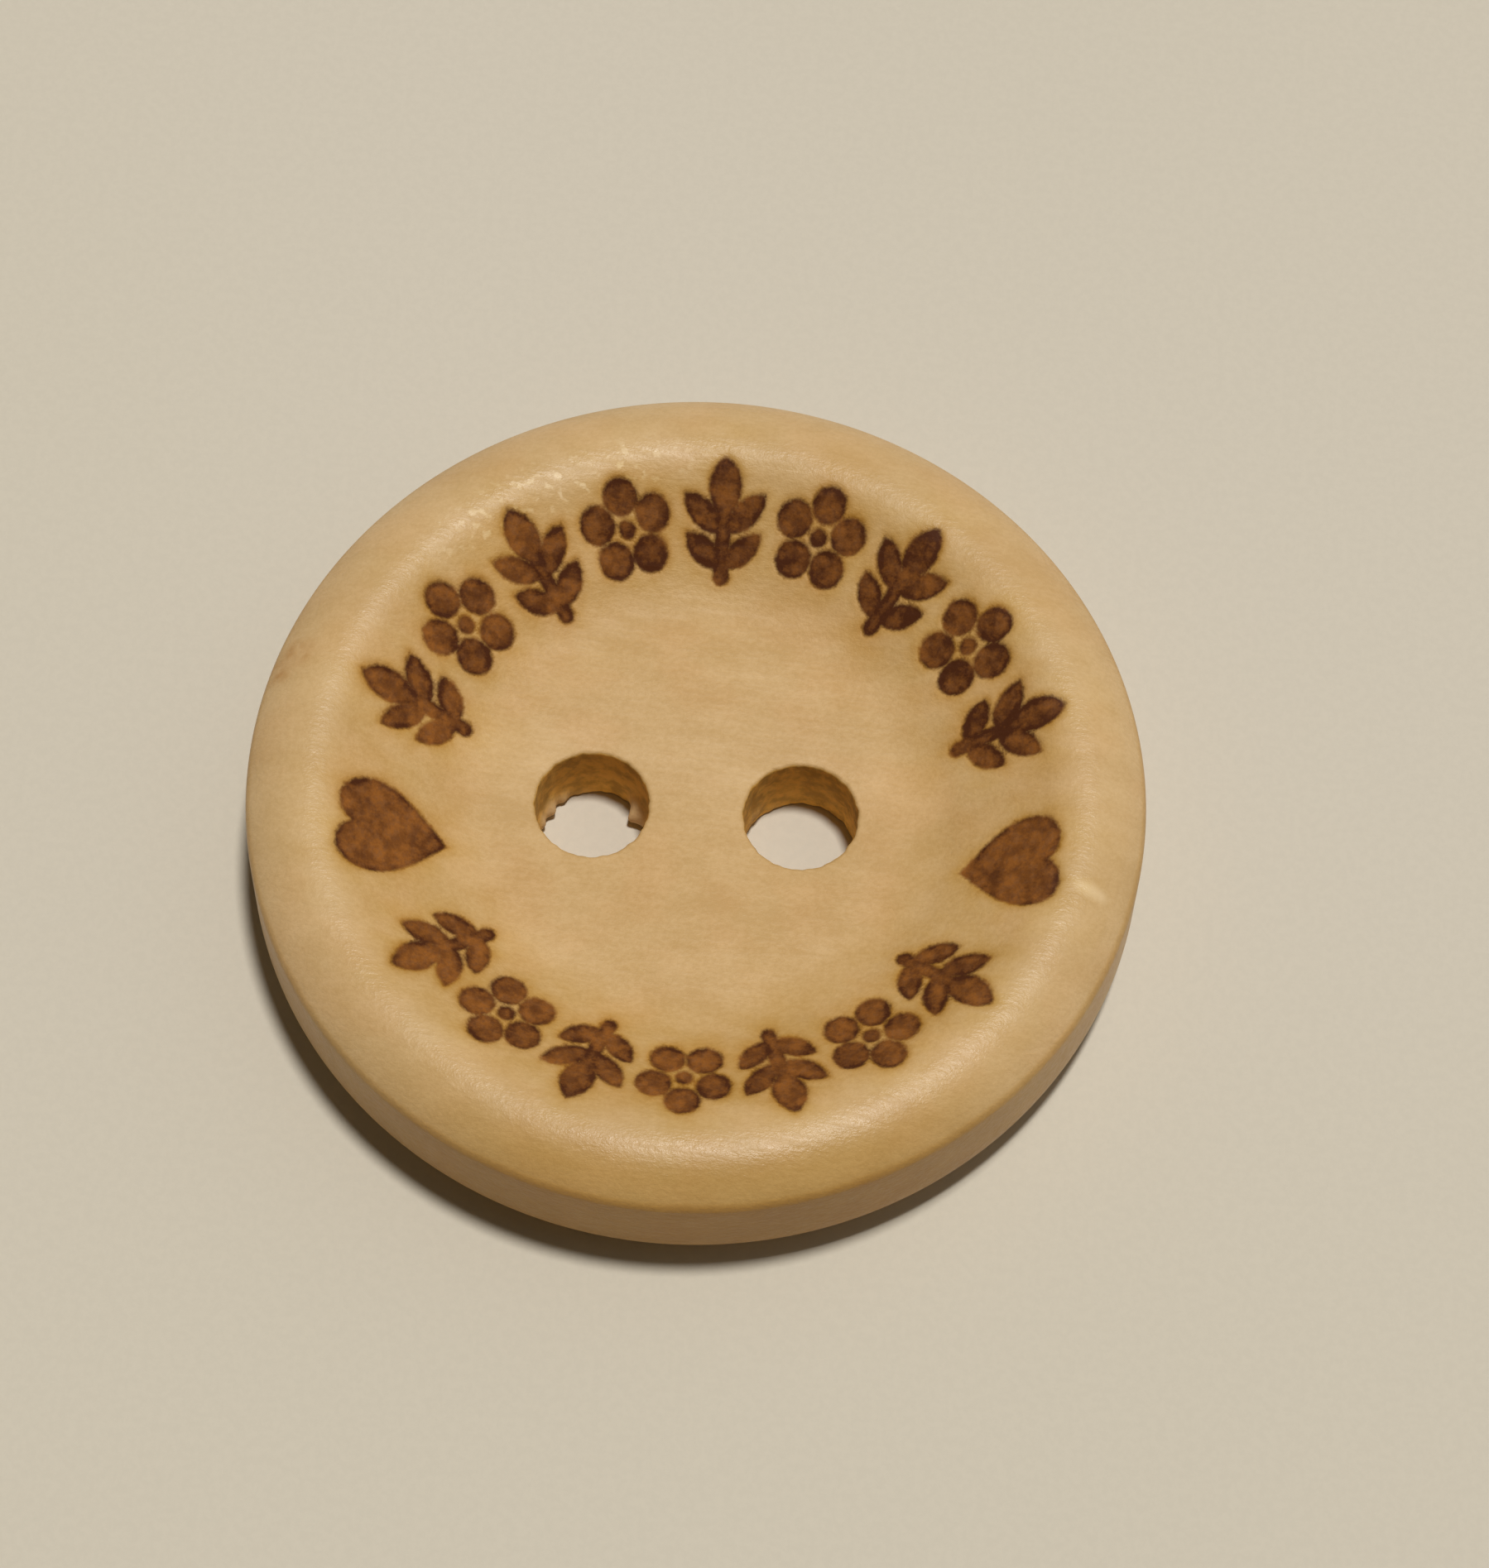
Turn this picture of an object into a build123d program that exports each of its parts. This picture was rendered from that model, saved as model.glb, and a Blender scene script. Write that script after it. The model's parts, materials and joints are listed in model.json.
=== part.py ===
from build123d import *
import math
import os

# A round wooden sewing button with two thread holes, turned and drilled from one
# piece of pale wood. It is shaped like a thick saucer: dished on the face, domed
# on the back. All sizes are in millimetres.
#
# Frame: the origin is the middle of the small flat foot that the button rests on.
# +Z points out of the dished face, and the two thread holes lie side by side along X.

# Overall sizes
outer_diameter = 25.0        # across the straight side
overall_height = 4.7         # from the foot to the crest of the rim
edge_lift = 1.25             # how high the domed back holds the side's lower edge
centre_thickness = 2.55      # wood between the foot and the flat middle of the dish

# The turned face
rim_width = 1.75             # from the side in to the circle where the rim is highest
crest_rounding = 2.0         # radius of the rounded crest
crest_outer_slope = 24.0     # degrees: steepness where the crest runs into the shoulder
shoulder_drop = 0.88         # from the crest down to the top of the straight side
dish_land = 1.08             # flat wood kept round the thread holes before the dish rises
dish_rounding = 3.2          # hollow curve between the flat of the dish and its sloping wall
curves_share = 0.95          # the most of its room that the hollow curve and the crest may fill

# The turned back and the softened edges
foot_land = 1.0              # flat wood kept round the thread holes before the back rises
ridge_rounding = 0.7         # between the shoulder and the side
back_chamfer = 0.12          # broken edge between the side and the domed back

# The thread holes
hole_diameter = 3.2
hole_spacing = 5.85          # between the two axes
hole_mouth_rounding = 0.12   # sanded edge at both mouths

outer_radius = outer_diameter / 2
crest_radius = outer_radius - rim_width
ridge_height = overall_height - shoulder_drop
hole_radius = hole_diameter / 2
hole_reach = hole_spacing / 2 + hole_radius
foot_radius = hole_reach + foot_land

# The dish is flat as far as the holes need. A hollow curve then turns up into a
# straight sloping wall, which runs into the crest. The wall is the common tangent
# of the two curves, which settles its length and slope. No wall is left once the
# two radii add up to the room for curves, so on a small button the hollow curve
# is limited by that room.
dish_floor_radius = hole_reach + dish_land
dish_depth = overall_height - centre_thickness
dish_run = crest_radius - dish_floor_radius
room_for_curves = (dish_run**2 + dish_depth**2) / (2 * dish_depth)
hollow_radius = min(dish_rounding, curves_share * room_for_curves - crest_rounding)
both_radii = hollow_radius + crest_rounding
wall_length = math.sqrt(2 * dish_depth * (room_for_curves - both_radii))
wall_turn = math.atan2(dish_run, both_radii - dish_depth)
wall_slope = math.degrees(wall_turn - math.atan2(wall_length, both_radii))

with BuildPart() as button:
    # Half section, turned about the button's axis
    with BuildSketch(Plane.XZ) as section:
        with BuildLine() as outline:
            # The face, from the axis outwards
            floor = Line((0, centre_thickness), (dish_floor_radius, centre_thickness))
            hollow = JernArc(
                start=floor @ 1,
                tangent=floor % 1,
                radius=hollow_radius,
                arc_size=wall_slope,
            )
            wall = PolarLine(hollow @ 1, wall_length, direction=hollow % 1)
            crest = JernArc(
                start=wall @ 1,
                tangent=wall % 1,
                radius=crest_rounding,
                arc_size=-(wall_slope + crest_outer_slope),
            )
            shoulder = TangentArc(
                crest @ 1,
                (outer_radius, ridge_height),
                tangent=crest % 1,
            )
            # The back, from the axis outwards
            foot = Line((0, 0), (foot_radius, 0))
            back = TangentArc(foot @ 1, (outer_radius, edge_lift), tangent=foot % 1)
            # The side and the axis close the outline
            side = Line(back @ 1, shoulder @ 1)
            turning_axis = Line(foot @ 0, floor @ 0)
        make_face()
        rim_corners = section.vertices().group_by(Axis.X)[-1].sort_by(Axis.Y)
        chamfer(rim_corners[0], length=back_chamfer)
        fillet(rim_corners[-1], radius=ridge_rounding)
    revolve(axis=Axis.Z)

    # Two thread holes, drilled straight through
    with Locations((0, 0, centre_thickness)):
        with GridLocations(hole_spacing, 0, 2, 1):
            Hole(radius=hole_radius)
    hole_mouths = (
        button.edges()
        .filter_by(GeomType.CIRCLE)
        .filter_by(lambda edge: math.isclose(edge.radius, hole_radius, abs_tol=0.001))
    )
    fillet(hole_mouths, radius=hole_mouth_rounding)

button.part.label = "button"

os.makedirs("parts", exist_ok=True)
export_step(button.part, "parts/button.step")
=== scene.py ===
import json
import math
from typing import NamedTuple

import bmesh
import bpy
import numpy as np
from mathutils import Matrix, Vector


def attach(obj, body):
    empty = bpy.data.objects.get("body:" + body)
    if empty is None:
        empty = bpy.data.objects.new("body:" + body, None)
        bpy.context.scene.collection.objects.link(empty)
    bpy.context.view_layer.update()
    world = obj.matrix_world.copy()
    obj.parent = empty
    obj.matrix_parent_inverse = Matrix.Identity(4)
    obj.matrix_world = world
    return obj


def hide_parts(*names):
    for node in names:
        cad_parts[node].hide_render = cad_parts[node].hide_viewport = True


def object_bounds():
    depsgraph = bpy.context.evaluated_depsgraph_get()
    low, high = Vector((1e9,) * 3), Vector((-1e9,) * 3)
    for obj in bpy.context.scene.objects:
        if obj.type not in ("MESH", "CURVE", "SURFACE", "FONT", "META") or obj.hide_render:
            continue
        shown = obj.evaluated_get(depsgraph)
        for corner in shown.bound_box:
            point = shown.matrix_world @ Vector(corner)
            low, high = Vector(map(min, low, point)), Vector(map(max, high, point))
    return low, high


bl_info = {
    "name": "Wooden Button",
    "version": (1, 0, 0),
    "blender": (4, 5, 0),
    "location": "3D View > Sidebar > Button",
    "description": "A turned wooden two-hole button with a burnt ornament on its face",
    "category": "Add Mesh",
}

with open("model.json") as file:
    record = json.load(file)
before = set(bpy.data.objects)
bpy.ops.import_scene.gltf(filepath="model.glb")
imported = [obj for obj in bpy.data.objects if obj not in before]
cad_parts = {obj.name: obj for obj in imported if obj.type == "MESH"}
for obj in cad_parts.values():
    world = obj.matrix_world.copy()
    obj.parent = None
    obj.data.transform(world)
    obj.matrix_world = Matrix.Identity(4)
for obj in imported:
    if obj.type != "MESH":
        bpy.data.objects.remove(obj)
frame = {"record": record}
CAD_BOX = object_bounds()

NODE = "button"
BODY = "root"

MM = 0.001
AXIS = Vector((0.0, 0.0, 1.0))
ORIGIN = Vector((0.0, 0.0, 0.0))

# The photograph's frame in pixels, and the camera's sensor in millimetres
PHOTO_WIDTH = 1799
PHOTO_HEIGHT = 1895
SENSOR = 36.0

BURN_ATTRIBUTE = "burn_distance"
BORE_ATTRIBUTE = "bore_wall"
TORN_ATTRIBUTE = "torn_fibre"

# Largest stored distance from the marks, in millimetres
CLEAR_OF_BURN = 3.0

# Points this close are merged, and heights this close count as equal
MERGE_DISTANCE = 0.002 * MM
LEVEL_TOLERANCE = 0.001 * MM


def bore_mounts():
    """The record's round holes, from left to right."""
    bores = [mount for mount in frame["record"]["mounts"] if mount["kind"] == "bore"]
    return sorted(bores, key=lambda mount: mount["pos_m"][0])


def length(name, description, default):
    return bpy.props.FloatProperty(
        name=name, description=description, default=default, unit="LENGTH", precision=5
    )


def angle(name, description, degrees):
    return bpy.props.FloatProperty(
        name=name, description=description, default=math.radians(degrees), subtype="ANGLE"
    )


def plain(name, description, default):
    return bpy.props.FloatProperty(name=name, description=description, default=default, precision=4)


def count(name, description, default):
    return bpy.props.IntProperty(name=name, description=description, default=default, min=1)


def colour(name, description, default):
    return bpy.props.FloatVectorProperty(
        name=name, description=description, default=default, subtype="COLOR", size=3, min=0.0, max=1.0
    )


class ButtonShape(bpy.types.PropertyGroup):
    """Sizes of the turned and drilled disc."""

    diameter: length("Diameter", "Across the straight side", CAD_BOX[1][0] - CAD_BOX[0][0])
    height: length("Height", "From the foot to the crest of the rim", CAD_BOX[1][2] - CAD_BOX[0][2])
    edge_lift: length("Edge lift", "Height of the side's lower edge over the foot", 1.25 * MM)
    centre_thickness: length("Centre thickness", "Wood between the foot and the dish", 2.55 * MM)
    rim_width: length("Rim width", "From the side in to the highest circle", 1.75 * MM)
    crest_rounding: length("Crest rounding", "Radius of the rounded crest", 2.0 * MM)
    crest_slope: angle("Crest slope", "Steepness where the crest meets the shoulder", 24.0)
    shoulder_drop: length("Shoulder drop", "From the crest down to the top of the side", 0.88 * MM)
    dish_land: length("Dish land", "Flat wood kept round the holes in the dish", 1.08 * MM)
    dish_rounding: length("Dish rounding", "Hollow curve between floor and wall", 3.2 * MM)
    foot_land: length("Foot land", "Flat wood kept round the holes on the back", 1.0 * MM)
    ridge_rounding: length("Ridge rounding", "Softened edge between shoulder and side", 0.7 * MM)
    back_slide: length("Back edge", "Reach of the softened lower edge from its corner", 0.12 * MM)
    hole_radius: length("Hole radius", "Radius of the holes", bore_mounts()[0]["dims"]["r_mm"] * MM)
    mouth_rounding: length("Mouth rounding", "Sanded edge of the hole mouths", 0.12 * MM)
    turns: count("Segments", "Segments round the disc", 720)
    hole_turns: count("Hole segments", "Segments round each hole", 144)


class ButtonOrnament(bpy.types.PropertyGroup):
    """The burnt ring of sprigs, flowers and two hearts."""

    shift: length("Shift", "Place of the ring's middle, right of the axis", 0.3 * MM)
    ring_radius: length("Ring radius", "Circle on which the motifs sit", 8.62 * MM)
    far_middle: angle("Far middle", "Where the middle of the far arc lies", 90.5)
    far_pitch: angle("Far pitch", "Angle between motifs of the far arc", 18.4)
    far_motifs: count("Far motifs", "Motifs in the far arc", 9)
    near_middle: angle("Near middle", "Where the middle of the near arc lies", -90.5)
    near_pitch: angle("Near pitch", "Angle between motifs of the near arc", 17.6)
    near_motifs: count("Near motifs", "Motifs in the near arc", 7)
    sprig_height: length("Sprig height", "Length of a sprig, measured outwards", 3.3 * MM)
    flower_width: length("Flower width", "Across the petals of a flower", 2.75 * MM)
    left_width: length("Left heart width", "Across the two lobes of the left heart", 2.95 * MM)
    left_length: length("Left heart length", "From its lobes to its tip", 2.98 * MM)
    right_width: length("Right heart width", "Across the two lobes of the right heart", 2.88 * MM)
    right_length: length("Right heart length", "From its lobes to its tip", 2.71 * MM)
    heart_reach: length("Heart reach", "From the ring's middle to the tip of a heart", 7.1 * MM)
    heart_drop: length("Heart drop", "Place of the hearts towards the viewer", 1.76 * MM)
    depth: length("Burn depth", "How deep the burnt marks are sunk", 0.06 * MM)
    wall: length("Burn wall", "Width of the sloping wall of a mark", 0.17 * MM)


class ButtonFinish(bpy.types.PropertyGroup):
    """Colours, grain and gloss of the wood."""

    pale: colour("Pale wood", "Lightest colour of the bare wood", (0.645, 0.435, 0.212))
    deep: colour("Deep wood", "Darkest colour of the bare wood", (0.515, 0.324, 0.130))
    # The rim colour is partly burnished paler wood and partly painted sheen on the crest and shoulder
    rim: colour("Rim wood", "Paler colour that the worn rim leans to", (0.700, 0.540, 0.345))
    bore: colour("Bore wood", "Colour of the raw wood in the thread holes", (0.820, 0.465, 0.094))
    # The side tint is painted shade: it darkens and yellows the whole side, which the lamp above
    # leaves in shade
    side: colour("Side tint", "Tint of the end grain on the side", (0.935, 0.820, 0.540))
    blush: colour("Blush", "Tint of the redder patches of the bare wood", (1.0, 0.965, 0.935))
    scorch: colour("Scorch", "Tint of the wood right beside the marks", (0.720, 0.560, 0.200))
    haze: colour("Haze", "Tint of the faint smoke stain round the marks", (0.960, 0.900, 0.640))
    # Colour of the painted glints on the burnished scratch and on the crest's open pores
    worn_and_glinting: colour("Worn spots", "Colour of burnished and glinting spots", (0.760, 0.570, 0.340))
    smudge: colour("Smudge", "Tint of the brown stains on the rim", (0.740, 0.560, 0.330))
    # Tint that makes the near rim and shoulder browner
    near_rim_tint: colour("Handled wood", "Tint of the browner near rim", (0.860, 0.780, 0.550))
    ash: colour("Ash", "Dull colour of the ashy patches inside the marks", (0.250, 0.094, 0.022))
    char: colour("Char", "Dark colour of the burnt marks", (0.055, 0.012, 0.0))
    toast: colour("Toast", "Light colour inside the burnt marks", (0.285, 0.100, 0.015))
    grain_turn: angle("Grain turn", "Turn of the noise that makes the grain", 4.0)
    grain_relief: length("Grain relief", "Depth of the fine relief of grain and pores", 0.035 * MM)
    char_relief: length("Char relief", "Depth of the fine relief inside the marks", 0.05 * MM)
    gloss: plain("Gloss", "Specular level of the waxed wood", 0.25)
    dish_roughness: plain("Dish roughness", "Roughness of the dry wood in the dish", 0.53)
    rim_roughness: plain("Rim roughness", "Roughness of the rim, polished by wear", 0.34)
    dryness: plain("Dryness", "Extra roughness of burnt and raw wood", 0.35)
    rim_start: length("Rim start", "Radius at which the polished rim starts", 9.6 * MM)
    rim_full: length("Rim full", "Radius past which the rim is fully polished", 10.6 * MM)
    near_rim_full: length("Handled full", "Radius past which the near rim is brown", 11.9 * MM)
    side_shade_start: length("Side start", "Radius at which the side's tint starts", 12.30 * MM)
    side_shade_full: length("Side full", "Radius at which the side's tint is full", 12.49 * MM)


class ButtonStage(bpy.types.PropertyGroup):
    """Camera, lamp, window, room and floor."""

    camera_azimuth: angle("Camera azimuth", "Turn of the camera about the button", 1.797)
    camera_elevation: angle("Camera elevation", "Height of the camera above the floor", 63.935)
    camera_roll: angle("Camera roll", "Tilt of the picture", 1.829)
    camera_distance: length("Camera distance", "From the camera to what it looks at", 140.763 * MM)
    camera_focus: plain("Focal length", "Focal length in pixels of the photograph", 6000.0)
    target_x: length("Target X", "Point that the camera looks at", 1.279 * MM)
    target_y: length("Target Y", "Point that the camera looks at", 1.536 * MM)
    target_z: length("Target Z", "Point that the camera looks at", 1.25 * MM)
    lamp_tilt: angle("Lamp tilt", "Lean of the lamp from straight overhead", 6.9)
    lamp_azimuth: angle("Lamp azimuth", "Side of the button that the lamp leans to", 35.0)
    lamp_spread: angle("Lamp spread", "Width of the lamp as the button sees it", 7.5)
    lamp_strength: plain("Lamp strength", "Light that falls on the face", 2.71)
    lamp_colour: colour("Lamp colour", "Tint of the lamp", (1.0, 0.985, 0.955))
    window_tilt: angle("Window tilt", "Lean of the window's light from overhead", 50.0)
    window_azimuth: angle("Window azimuth", "Side of the button that the window is on", 25.0)
    window_spread: angle("Window spread", "Width of the window as the button sees it", 80.0)
    window_strength: plain("Window strength", "Light from a window beyond the button", 0.36)
    window_colour: colour("Window colour", "Tint of the window's light", (0.96, 0.96, 0.93))
    fill_strength: plain("Fill strength", "Light from the room", 0.06)
    fill_colour: colour("Fill colour", "Tint of the light from the room", (1.0, 0.86, 0.60))
    floor_colour: colour("Floor colour", "Colour of the table top", (0.614, 0.561, 0.467))
    floor_size: length("Floor size", "Width of the floor", 4.0)
    floor_drop: length("Floor drop", "Gap between foot and floor", 0.01 * MM)
    floor_relief: length("Floor relief", "Depth of the floor's fine pebbling", 0.02 * MM)
    floor_roughness: plain("Floor roughness", "Roughness of the table top", 0.75)
    floor_gloss: plain("Floor gloss", "Specular level of the table top", 0.25)


def settings():
    """The four groups of settings."""
    scene = bpy.context.scene
    return scene.button_shape, scene.button_ornament, scene.button_finish, scene.button_stage


# Turning and drilling

# Steps along each run of the section, from the dish's floor round to the foot
HOLLOW_STEPS = 22
WALL_STEPS = 38
CREST_STEPS = 24
SHOULDER_STEPS = 6
SIDE_STEPS = 5
BACK_STEPS = 10

# Segments of the two softened edges of the side
RIDGE_SEGMENTS = 6
BACK_EDGE_SEGMENTS = 4

# Steps down a thread hole
MOUTH_STEPS = 4
BORE_STEPS = 22

# Equal sectors that a turned shape is put together from
DISC_SECTORS = 12
HOLE_SECTORS = 6


class Section:
    """Circles and angles of the half section, from the shape's sizes."""

    def __init__(self, shape, places):
        reach = max(place.length for place in places) + shape.hole_radius
        self.outer_radius = shape.diameter / 2
        self.crest_radius = self.outer_radius - shape.rim_width
        self.floor_radius = reach + shape.dish_land
        self.foot_radius = reach + shape.foot_land

        run = self.crest_radius - self.floor_radius
        rise = shape.height - shape.centre_thickness
        radii = shape.dish_rounding + shape.crest_rounding
        self.wall_length = math.sqrt(run**2 + rise**2 - 2 * rise * radii)
        self.wall_slope = math.atan2(run, radii - rise) - math.atan2(self.wall_length, radii)

        crest_end = Vector((
            self.crest_radius + shape.crest_rounding * math.sin(shape.crest_slope),
            0.0,
            shape.height - shape.crest_rounding * (1 - math.cos(shape.crest_slope)),
        ))
        chord = Vector((self.outer_radius, 0.0, shape.height - shape.shoulder_drop)) - crest_end
        inward = Vector((-math.sin(shape.crest_slope), 0.0, -math.cos(shape.crest_slope)))
        shoulder_radius = chord.length_squared / (2 * chord.dot(inward))
        self.shoulder_centre = crest_end + inward * shoulder_radius
        self.shoulder_angle = 2 * math.asin(chord.length / (2 * shoulder_radius))

        run = self.outer_radius - self.foot_radius
        self.back_radius = (run**2 + shape.edge_lift**2) / (2 * shape.edge_lift)
        self.back_slope = math.asin(run / self.back_radius)

        # How far the softened ridge reaches from its corner
        ridge_turn = math.pi / 2 - shape.crest_slope - self.shoulder_angle
        self.ridge_slide = shape.ridge_rounding * math.tan(ridge_turn / 2)


def sweep_vertex(mesh, vertex, centre, turn, steps):
    """Draws an arc of edges from a vertex in the XZ plane, and returns its end."""
    swept = bmesh.ops.spin(
        mesh, geom=[vertex], cent=centre, axis=(0.0, 1.0, 0.0), angle=turn, steps=steps,
        use_merge=False, use_normal_flip=False, use_duplicate=False,
    )
    return next(item for item in swept["geom_last"] if isinstance(item, bmesh.types.BMVert))


def draw_line(mesh, start, end, steps):
    """Draws a straight run of edges to a point, and returns its end."""
    last = start
    origin = start.co.copy()
    for step in range(1, steps + 1):
        vertex = mesh.verts.new(origin.lerp(end, step / steps))
        mesh.edges.new((last, vertex))
        last = vertex
    return last


def soften_corner(mesh, vertex, slide, segments):
    bmesh.ops.bevel(
        mesh, geom=[vertex], offset=slide, offset_type="OFFSET", segments=segments,
        profile=0.5, affect="VERTICES", material=-1, clamp_overlap=True,
    )


def drawn_since(mesh, before):
    """All vertices, edges and faces that were added after the ones in before."""
    verts = [vertex for vertex in mesh.verts if vertex not in before]
    edges = {edge for vertex in verts for edge in vertex.link_edges}
    faces = {face for vertex in verts for face in vertex.link_faces}
    return [*verts, *edges, *faces]


def spin_round(mesh, before, centre, steps, sectors):
    """Turns what was drawn since into one sector, and copies it round the circle."""
    bmesh.ops.spin(
        mesh, geom=drawn_since(mesh, before), cent=centre, axis=AXIS,
        angle=2 * math.pi / sectors, steps=steps // sectors,
        use_merge=False, use_normal_flip=False, use_duplicate=False,
    )
    bmesh.ops.spin(
        mesh, geom=drawn_since(mesh, before), cent=centre, axis=AXIS,
        angle=2 * math.pi * (sectors - 1) / sectors, steps=sectors - 1,
        use_merge=False, use_normal_flip=False, use_duplicate=True,
    )


def turn_disc(mesh, shape, section):
    """Turns the whole section about the button's axis, up to the flats round the holes."""
    before = set(mesh.verts)
    start = mesh.verts.new((section.floor_radius, 0.0, shape.centre_thickness))
    hollow_centre = start.co + AXIS * shape.dish_rounding
    hollow_end = sweep_vertex(mesh, start, hollow_centre, -section.wall_slope, HOLLOW_STEPS)
    uphill = Vector((math.cos(section.wall_slope), 0.0, math.sin(section.wall_slope)))
    wall_top = hollow_end.co + uphill * section.wall_length
    wall_end = draw_line(mesh, hollow_end, wall_top, WALL_STEPS)
    crest_centre = Vector((section.crest_radius, 0.0, shape.height - shape.crest_rounding))
    crest_turn = section.wall_slope + shape.crest_slope
    crest_end = sweep_vertex(mesh, wall_end, crest_centre, crest_turn, CREST_STEPS)
    ridge = sweep_vertex(
        mesh, crest_end, section.shoulder_centre, section.shoulder_angle, SHOULDER_STEPS,
    )
    side_foot = Vector((section.outer_radius, 0.0, shape.edge_lift))
    heel = draw_line(mesh, ridge, side_foot, SIDE_STEPS)
    back_centre = Vector((section.foot_radius, 0.0, section.back_radius))
    sweep_vertex(mesh, heel, back_centre, section.back_slope, BACK_STEPS)
    soften_corner(mesh, ridge, section.ridge_slide, RIDGE_SEGMENTS)
    soften_corner(mesh, heel, shape.back_slide, BACK_EDGE_SEGMENTS)
    spin_round(mesh, before, ORIGIN, shape.turns, DISC_SECTORS)


def drill_hole(mesh, shape, place):
    """Adds one hole's wall, with its two sanded mouths."""
    top = shape.centre_thickness
    soft = shape.mouth_rounding
    edge = place.x + shape.hole_radius
    before = set(mesh.verts)
    start = mesh.verts.new((edge + soft, place.y, top))
    upper_centre = Vector((edge + soft, place.y, top - soft))
    upper = sweep_vertex(mesh, start, upper_centre, -math.pi / 2, MOUTH_STEPS)
    lower = draw_line(mesh, upper, Vector((edge, place.y, soft)), BORE_STEPS)
    lower_centre = Vector((edge + soft, place.y, soft))
    sweep_vertex(mesh, lower, lower_centre, -math.pi / 2, MOUTH_STEPS)
    spin_round(mesh, before, Vector((place.x, place.y, 0.0)), shape.hole_turns, HOLE_SECTORS)


def close_level(mesh, height):
    """Fills the flat face at a height, round the hole mouths."""
    rims = [
        edge for edge in mesh.edges if edge.is_boundary
        and all(abs(vertex.co.z - height) < LEVEL_TOLERANCE for vertex in edge.verts)
    ]
    bmesh.ops.triangle_fill(mesh, edges=rims, use_beauty=True, normal=AXIS)


def shape_button(shape, places):
    """The turned and drilled disc as a closed bmesh."""
    mesh = bmesh.new()
    for place in places:
        drill_hole(mesh, shape, place)
    turn_disc(mesh, shape, Section(shape, places))
    bmesh.ops.remove_doubles(mesh, verts=mesh.verts, dist=MERGE_DISTANCE)
    close_level(mesh, shape.centre_thickness)
    close_level(mesh, 0.0)
    bmesh.ops.recalc_face_normals(mesh, faces=mesh.faces)
    return mesh


# The burnt ornament, measured as a signed distance from each mark's outline

# A sprig's stem and leaves, as shares of its height: where a leaf leaves the stem, its tip's
# place beside the stem and along it, and its width
STEM_WIDTH = 0.15
STEM_TOP = 0.1
TIP_LEAF_WIDTH = 0.3
SIDE_LEAVES = (
    (-0.1, (0.36, 0.2), 0.23),
    (-0.36, (0.33, -0.1), 0.22),
)

# A flower's petals and seed head, their radii as shares of its width
PETALS = 5
PETAL_RADIUS = 0.19
SEED_RADIUS = 0.1

# Right half of a heart as two Bezier curves, in shares of its width and its length
HEART_FLANK = ((0.0, 0.0), (0.20, 0.19), (0.5, 0.42), (0.5, 0.70))
HEART_LOBE = ((0.5, 0.70), (0.5, 1.04), (0.13, 1.09), (0.0, 0.895))
CURVE_POINTS = 19


def place_points(points, centre, turn):
    """Moves points into a motif's own frame: its middle at centre, its Y axis at the turn."""
    across = np.array((math.sin(turn), -math.cos(turn)))
    along = np.array((math.cos(turn), math.sin(turn)))
    offset = points - np.array(centre)
    return np.stack((offset @ across, offset @ along), axis=1)


def stroke_distance(points, start, end, width):
    """Distance from a straight stroke with round ends."""
    start = np.array(start)
    run = np.array(end) - start
    share = np.clip((points - start) @ run / (run @ run), 0.0, 1.0)
    nearest = start + share[:, None] * run
    return np.linalg.norm(points - nearest, axis=1) - width / 2


def leaf_distance(points, base, tip, width):
    """Distance from a pointed leaf, the overlap of two equal circles."""
    base = np.array(base)
    tip = np.array(tip)
    reach = np.linalg.norm(tip - base) / 2
    axis = (tip - base) / (2 * reach)
    offset = points - (base + tip) / 2
    along = np.abs(offset @ axis)
    across = np.abs(offset @ np.array((-axis[1], axis[0])))
    radius = (reach**2 + width**2 / 4) / width
    inset = radius - width / 2
    beyond = (along - reach) * inset > across * reach
    past_tip = np.hypot(across, along - reach)
    beside = np.hypot(across + inset, along) - radius
    return np.where(beyond, past_tip, beside)


def disc_distance(points, centre, radius):
    return np.linalg.norm(points - np.array(centre), axis=1) - radius


def sprig_distance(points, height):
    """A radial stem with a leaf at its tip and two pairs of side leaves."""
    foot = -height / 2
    tip = height / 2
    stem_width = STEM_WIDTH * height
    stem_top = (0.0, STEM_TOP * height)
    parts = [
        stroke_distance(points, (0.0, foot + stem_width / 2), stem_top, stem_width),
        leaf_distance(points, (0.0, 0.0), (0.0, tip), TIP_LEAF_WIDTH * height),
    ]
    for base, (beside, along), width in SIDE_LEAVES:
        for side in (-1, 1):
            leaf_tip = (side * beside * height, along * height)
            parts.append(leaf_distance(points, (0.0, base * height), leaf_tip, width * height))
    return np.minimum.reduce(parts)


def flower_distance(points, width):
    """Round petals about an open ring with a seed head in its middle."""
    petal_radius = PETAL_RADIUS * width
    petal_circle = width / 2 - petal_radius
    parts = [disc_distance(points, (0.0, 0.0), SEED_RADIUS * width)]
    for petal in range(PETALS):
        turn = math.pi / 2 + 2 * math.pi * petal / PETALS
        centre = (petal_circle * math.cos(turn), petal_circle * math.sin(turn))
        parts.append(disc_distance(points, centre, petal_radius))
    return np.minimum.reduce(parts)


def bezier(start, first, second, end):
    """Points along a Bezier curve, as a column of X and Y."""
    share = np.linspace(0.0, 1.0, CURVE_POINTS)[:, None]
    rest = 1 - share
    start, first, second, end = (np.array(point) for point in (start, first, second, end))
    return rest**3 * start + 3 * rest * share * (rest * first + share * second) + share**3 * end


def heart_outline(width, height):
    """Closed outline of a heart with its tip at the origin and its lobes up +Y."""
    half = np.concatenate((bezier(*HEART_FLANK), bezier(*HEART_LOBE)[1:]))
    other_half = half[-2:0:-1] * np.array((-1.0, 1.0))
    return np.concatenate((half, other_half)) * np.array((width, height))


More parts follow.
